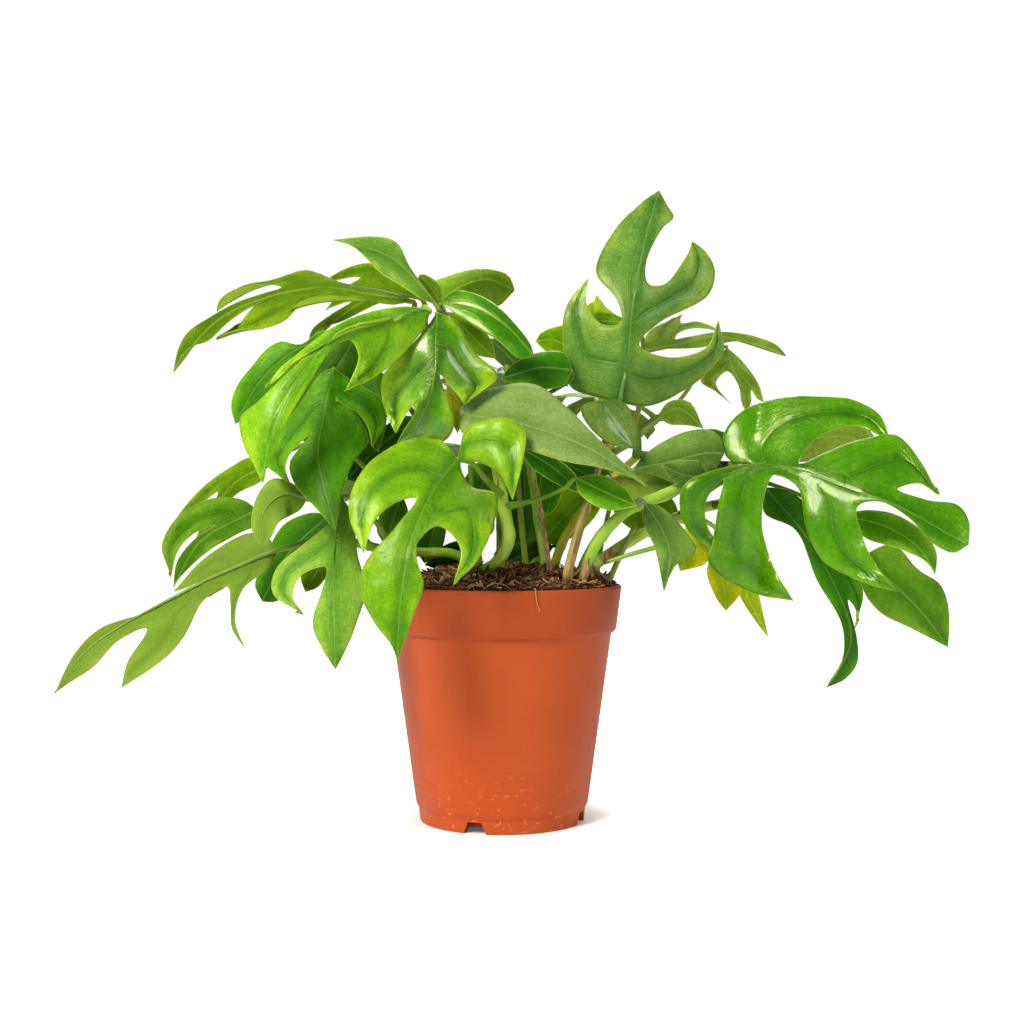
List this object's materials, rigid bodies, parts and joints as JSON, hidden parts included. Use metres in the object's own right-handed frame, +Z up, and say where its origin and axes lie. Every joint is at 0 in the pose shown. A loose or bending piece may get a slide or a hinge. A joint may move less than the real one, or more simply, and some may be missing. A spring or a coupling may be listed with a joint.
{
  "type": "potted rhaphidophora tetrasperma",
  "caption": "Bushy potted aroid with deeply split leaves on long arching leaf stalks and vines, in peaty mix in a round tapered nursery pot with a rim band and drain slots.",
  "frame": {"origin": "centre of the pot's underside, on the surface that it stands on", "axes": "+Z up, -Y towards the side that the plant is seen from, +X to the right of it"},
  "size_m": [0.5499, 0.3539, 0.3992],
  "materials": {
    "pot": "satin injection-moulded polypropylene, terracotta colour",
    "mix": "moist peat and coir potting mix with pale fibres",
    "vine": "smooth fleshy green plant stem",
    "leaf": "glossy green leaf with pale sunken ribs"
  },
  "bodies": {
    "root": {"leaf_back_right_hanging": "leaf", "leaf_back_right_long": "leaf", "leaf_back_right_pale": "leaf", "leaf_behind_crown": "leaf", "leaf_behind_large": "leaf", "leaf_behind_right": "leaf", "leaf_core_shade": "leaf", "leaf_core_yellow": "leaf", "leaf_crown": "leaf", "leaf_far_high": "leaf", "leaf_far_left": "leaf", "leaf_far_low": "leaf", "leaf_far_right": "leaf", "leaf_far_upper_left": "leaf", "leaf_far_upper_right": "leaf", "leaf_folded": "leaf", "leaf_front": "leaf", "leaf_glossy": "leaf", "leaf_grey_mid": "leaf", "leaf_horn": "leaf", "leaf_left_mid": "leaf", "leaf_left_olive": "leaf", "leaf_left_shade": "leaf", "leaf_low_hanging": "leaf", "leaf_low_left": "leaf", "leaf_low_shade": "leaf", "leaf_lower_right": "leaf", "leaf_mid_dark": "leaf", "leaf_mid_dark_hanging": "leaf", "leaf_mid_pale": "leaf", "leaf_mid_right_grey": "leaf", "leaf_mid_right_low": "leaf", "leaf_mid_shade": "leaf", "leaf_mid_yellow_edge": "leaf", "leaf_pale_small": "leaf", "leaf_right_back": "leaf", "leaf_right_hanging_blue": "leaf", "leaf_right_large": "leaf", "leaf_right_low_olive": "leaf", "leaf_right_low_pale": "leaf", "leaf_right_low_yellow": "leaf", "leaf_small_bright": "leaf", "leaf_top_back": "leaf", "leaf_top_left": "leaf", "leaf_top_left_back": "leaf", "leaf_under_crown": "leaf", "leaf_upper_left_bright": "leaf", "leaf_upper_right_bright": "leaf", "pot": "pot", "soil": "mix", "stem_back": "vine", "stem_back_left": "vine", "stem_back_right": "vine", "stem_brown": "vine", "stem_centre": "vine", "stem_crown": "vine", "stem_front_left": "vine", "stem_front_right": "vine", "stem_low_left": "vine", "stem_right": "vine"}
  },
  "joints": []
}
